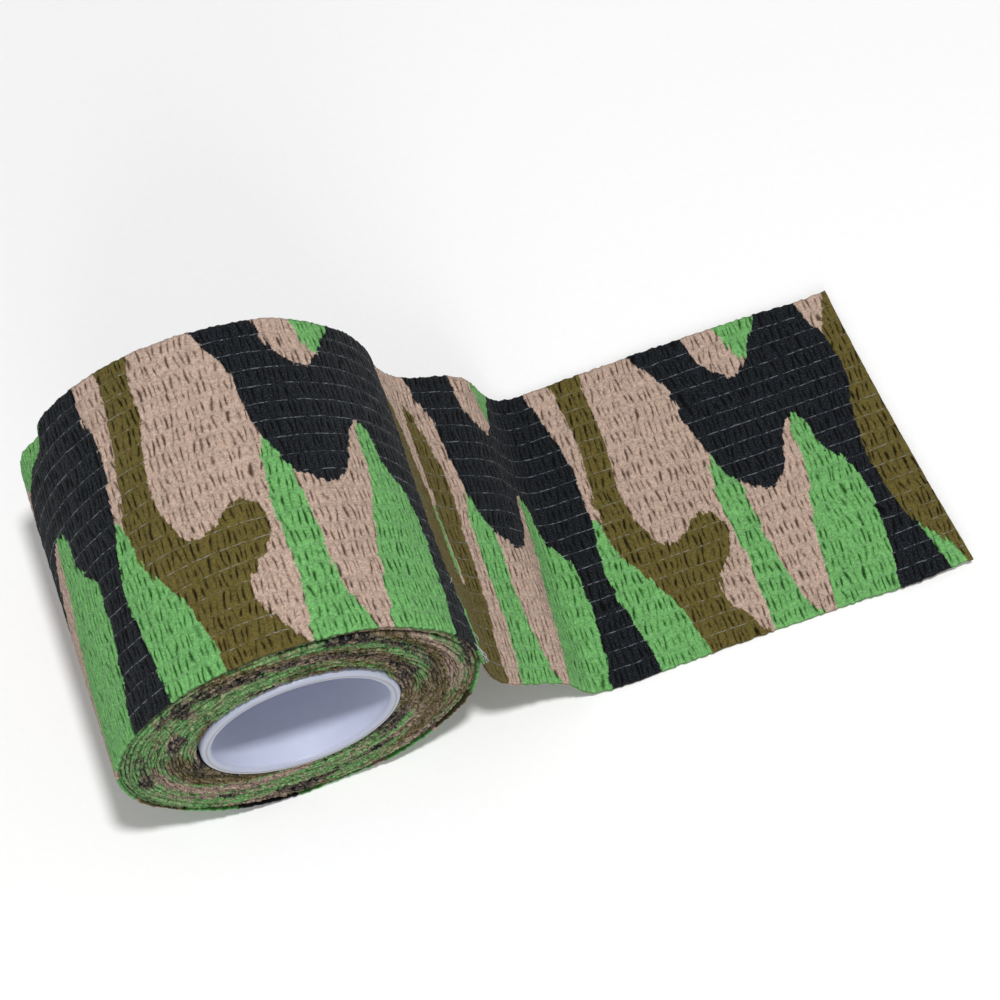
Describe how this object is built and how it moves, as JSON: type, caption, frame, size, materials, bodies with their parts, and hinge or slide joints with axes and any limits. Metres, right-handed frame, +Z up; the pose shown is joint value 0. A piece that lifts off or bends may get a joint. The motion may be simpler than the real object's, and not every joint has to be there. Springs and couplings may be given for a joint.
{
  "type": "cohesive elastic wrap tape roll",
  "caption": "Roll of self-adhering crinkled elastic wrap tape in a camouflage print on a white plastic core, with a free tail lying flat beside it.",
  "frame": {"origin": "on the table surface, at the middle of the length and width that the roll and its flat tail take up together", "axes": "+Z up, +X from the roll along the tail, +Y along the roll's axis, away from the end face that shows in front"},
  "size_m": [0.1271, 0.05, 0.0524],
  "materials": {
    "printed_web": "matt crinkled non-woven with a camouflage print in green, tan, olive and black",
    "back_web": "matt crinkled non-woven, the print showing faintly through it",
    "wound_turns": "cut edges of the printed tape, speckled in the print's colours",
    "elastic_thread": "fine pale elastic thread, slightly glossy",
    "core_plastic": "moulded white plastic with a satin surface"
  },
  "bodies": {
    "outer_turn": {"outer_turn": "printed_web"},
    "roll": {"core_tube": "core_plastic", "wound_tape": "wound_turns"},
    "tail_ramp": {"ramp_face_web": "printed_web", "ramp_back_web": "back_web", "ramp_thread_01": "elastic_thread", "ramp_thread_02": "elastic_thread", "ramp_thread_03": "elastic_thread", "ramp_thread_04": "elastic_thread", "ramp_thread_05": "elastic_thread", "ramp_thread_06": "elastic_thread", "ramp_thread_07": "elastic_thread", "ramp_thread_08": "elastic_thread", "ramp_thread_09": "elastic_thread", "ramp_thread_10": "elastic_thread", "ramp_thread_11": "elastic_thread", "ramp_thread_12": "elastic_thread", "ramp_thread_13": "elastic_thread", "ramp_thread_14": "elastic_thread", "ramp_thread_15": "elastic_thread", "ramp_thread_16": "elastic_thread", "ramp_thread_17": "elastic_thread"},
    "tail_near": {"near_face_web": "printed_web", "near_back_web": "back_web", "near_thread_01": "elastic_thread", "near_thread_02": "elastic_thread", "near_thread_03": "elastic_thread", "near_thread_04": "elastic_thread", "near_thread_05": "elastic_thread", "near_thread_06": "elastic_thread", "near_thread_07": "elastic_thread", "near_thread_08": "elastic_thread", "near_thread_09": "elastic_thread", "near_thread_10": "elastic_thread", "near_thread_11": "elastic_thread", "near_thread_12": "elastic_thread", "near_thread_13": "elastic_thread", "near_thread_14": "elastic_thread", "near_thread_15": "elastic_thread", "near_thread_16": "elastic_thread", "near_thread_17": "elastic_thread"},
    "tail_far": {"far_face_web": "printed_web", "far_back_web": "back_web", "far_thread_01": "elastic_thread", "far_thread_02": "elastic_thread", "far_thread_03": "elastic_thread", "far_thread_04": "elastic_thread", "far_thread_05": "elastic_thread", "far_thread_06": "elastic_thread", "far_thread_07": "elastic_thread", "far_thread_08": "elastic_thread", "far_thread_09": "elastic_thread", "far_thread_10": "elastic_thread", "far_thread_11": "elastic_thread", "far_thread_12": "elastic_thread", "far_thread_13": "elastic_thread", "far_thread_14": "elastic_thread", "far_thread_15": "elastic_thread", "far_thread_16": "elastic_thread", "far_thread_17": "elastic_thread"}
  },
  "joints": [
    {"name": "roll_turn", "type": "hinge", "parent": "outer_turn", "child": "roll", "pos_m": [-0.03735, 0, 0.02605], "axis": [0, 1, 0], "continuous": true},
    {"name": "tail_peel", "type": "hinge", "parent": "outer_turn", "child": "tail_ramp", "pos_m": [-0.01125, 0, 0.02605], "axis": [0, -1, 0], "range_deg": [0, 50]},
    {"name": "tail_fold", "type": "hinge", "parent": "tail_ramp", "child": "tail_near", "pos_m": [0.00565, 0, 0.00035], "axis": [0, -1, 0], "range_deg": [-30, 0]},
    {"name": "tail_curl", "type": "hinge", "parent": "tail_near", "child": "tail_far", "pos_m": [0.03465, 0, 0.00035], "axis": [0, -1, 0], "range_deg": [0, 75]}
  ],
  "couplings": [
    {"joint": "tail_fold", "follows": "tail_peel", "ratio": -0.6}
  ]
}
